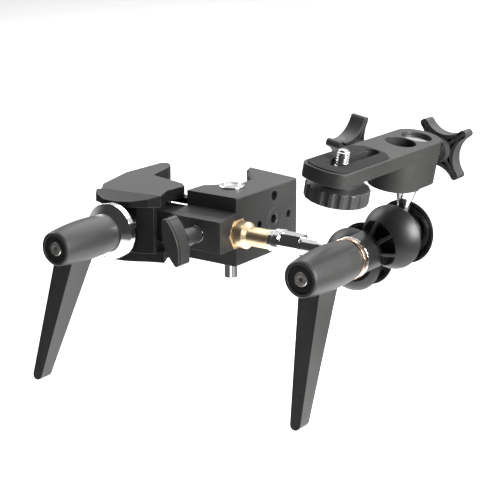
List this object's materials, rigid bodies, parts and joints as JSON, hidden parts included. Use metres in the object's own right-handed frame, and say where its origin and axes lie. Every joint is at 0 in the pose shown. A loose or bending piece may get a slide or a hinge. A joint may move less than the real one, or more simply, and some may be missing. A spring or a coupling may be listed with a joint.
{
  "type": "super clamp",
  "caption": "Screw-jaw pole clamp with a hexagonal stud socket, holding a stud and a lever-locked ball-jointed arm that carries a slotted camera plate with star knobs.",
  "frame": {"origin": "on the axis of the pole the jaws grip, at the clamp's mid height", "axes": "+Z along the gripped pole, upwards; +X along the stud towards the camera arm; +Y away from the two ratchet levers"},
  "size_m": [0.2169, 0.1591, 0.1557],
  "materials": {
    "cast": "fine textured satin black powder coat on cast aluminium",
    "plastic": "satin black glass-filled nylon",
    "chrome": "bright chrome plate",
    "steel": "zinc plated steel",
    "brass": "bright turned brass",
    "copper": "copper coloured plating",
    "rubber": "fine grained black rubber"
  },
  "bodies": {
    "clamp": {"clamp_casting": "cast", "accessory_insert": "cast", "hinge_pin": "steel", "hinge_clip": "steel", "spindle_nut": "brass", "lock_ring": "steel", "stud": "brass", "jaw_spring": "steel"},
    "jaw": {"moving_jaw": "cast"},
    "feed": {"cup_washer": "chrome"},
    "spindle": {"clamp_spindle": "steel", "clamp_lever_screw": "chrome", "clamp_lever_spring": "steel"},
    "lever": {"clamp_lever": "plastic", "clamp_lever_insert": "steel", "clamp_lever_cap": "plastic"},
    "lock_feed": {"lock_pad": "plastic"},
    "lock": {"lock_knob": "plastic", "lock_screw": "steel"},
    "pin": {"socket_pin": "chrome"},
    "lower_ball": {"lower_stem": "chrome"},
    "arm": {"front_shell": "cast", "back_shell": "cast", "back_nut": "steel", "copper_washer": "copper", "steel_washer": "chrome"},
    "arm_screw": {"arm_bolt": "steel", "arm_lever_screw": "chrome", "arm_lever_spring": "steel"},
    "arm_grip": {"arm_lever": "plastic", "arm_lever_insert": "steel", "arm_lever_cap": "plastic"},
    "upper_ball": {"upper_stem": "chrome"},
    "plate": {"camera_plate": "cast", "rubber_pad": "rubber"},
    "carriage": {"camera_washer": "plastic"},
    "camera_bolt": {"camera_screw": "steel", "camera_knob": "plastic", "knob_button": "copper"},
    "stud_star_feed": {"stud_star_tip": "brass"},
    "stud_star_turn": {"stud_star": "plastic", "stud_star_screw": "steel"},
    "bore_star_feed": {"bore_star_tip": "brass"},
    "bore_star_turn": {"bore_star": "plastic", "bore_star_screw": "steel"}
  },
  "joints": [
    {"name": "jaw_pivot", "type": "hinge", "parent": "clamp", "child": "jaw", "pos_m": [0.0306, -0.0158, 0], "axis": [0, 0, 1], "range_deg": [-4.75, 4.75], "deforming": ["jaw_spring"]},
    {"name": "spindle_feed", "type": "slide", "parent": "clamp", "child": "feed", "axis": [0, 1, 0], "range_m": [-0.0035, 0.0035]},
    {"name": "spindle_turn", "type": "hinge", "parent": "feed", "child": "spindle", "pos_m": [-0.012, -0.1, 0], "axis": [0, 1, 0], "range_deg": [-722, 722]},
    {"name": "lever_lift", "type": "slide", "parent": "spindle", "child": "lever", "axis": [0, -1, 0], "range_m": [0, 0.004], "stiffness_N_per_m": 900, "springref_m": -0.003, "deforming": ["clamp_lever_spring"]},
    {"name": "lock_advance", "type": "slide", "parent": "clamp", "child": "lock_feed", "axis": [0, -1, 0], "range_m": [0, 0.0025]},
    {"name": "lock_turn", "type": "hinge", "parent": "lock_feed", "child": "lock", "pos_m": [0.0333, -0.06, 0.0007], "axis": [0, -1, 0], "range_deg": [0, 722]},
    {"name": "pin_pull", "type": "slide", "parent": "clamp", "child": "pin", "axis": [0, 0, -1], "range_m": [0, 0.004], "stiffness_N_per_m": 500, "springref_m": -0.003},
    {"name": "stem_spin", "type": "hinge", "parent": "clamp", "child": "lower_ball", "pos_m": [0.128, -0.035, -0.001], "axis": [1, 0, 0], "continuous": true},
    {"name": "arm_swing", "type": "hinge", "parent": "lower_ball", "child": "arm", "pos_m": [0.128, -0.035, -0.001], "axis": [0, 1, 0], "range_deg": [-45, 45]},
    {"name": "arm_lever_turn", "type": "hinge", "parent": "arm", "child": "arm_screw", "pos_m": [0.13965, -0.09, 0.007], "axis": [0, 1, 0], "range_deg": [-90, 90]},
    {"name": "arm_lever_lift", "type": "slide", "parent": "arm_screw", "child": "arm_grip", "axis": [0, -1, 0], "range_m": [0, 0.004], "stiffness_N_per_m": 900, "springref_m": -0.003, "deforming": ["arm_lever_spring"]},
    {"name": "head_swing", "type": "hinge", "parent": "arm", "child": "upper_ball", "pos_m": [0.1513, -0.035, 0.015], "axis": [0, -1, 0], "range_deg": [-45, 45]},
    {"name": "plate_pan", "type": "hinge", "parent": "upper_ball", "child": "plate", "pos_m": [0.15836, -0.035, 0.05589], "axis": [0.1702, 0, 0.9854], "continuous": true},
    {"name": "screw_slide", "type": "slide", "parent": "plate", "child": "carriage", "axis": [0, 1, 0], "range_m": [-0.006, 0.026]},
    {"name": "camera_turn", "type": "hinge", "parent": "carriage", "child": "camera_bolt", "pos_m": [0.16047, -0.1073, 0.06811], "axis": [0.1702, 0, 0.9854], "continuous": true},
    {"name": "stud_star_advance", "type": "slide", "parent": "plate", "child": "stud_star_feed", "axis": [0, 1, 0], "range_m": [0, 0.003]},
    {"name": "stud_star_spin", "type": "hinge", "parent": "stud_star_feed", "child": "stud_star_turn", "pos_m": [0.15836, -0.015, 0.05589], "axis": [0, 1, 0], "range_deg": [0, 1082]},
    {"name": "bore_star_advance", "type": "slide", "parent": "plate", "child": "bore_star_feed", "axis": [-0.9854, 0, 0.1702], "range_m": [0, 0.003]},
    {"name": "bore_star_spin", "type": "hinge", "parent": "bore_star_feed", "child": "bore_star_turn", "pos_m": [0.13866, -0.0515, 0.0593], "axis": [-0.9854, 0, 0.1702], "range_deg": [0, 1082]}
  ],
  "couplings": [
    {"joint": "spindle_turn", "follows": "spindle_feed", "rad_per_m": 3590.4},
    {"joint": "jaw_pivot", "follows": "spindle_feed", "rad_per_m": -23.474},
    {"joint": "lock_turn", "follows": "lock_advance", "rad_per_m": 5026.5},
    {"joint": "stud_star_spin", "follows": "stud_star_advance", "rad_per_m": 6283.2},
    {"joint": "bore_star_spin", "follows": "bore_star_advance", "rad_per_m": 6283.2}
  ]
}
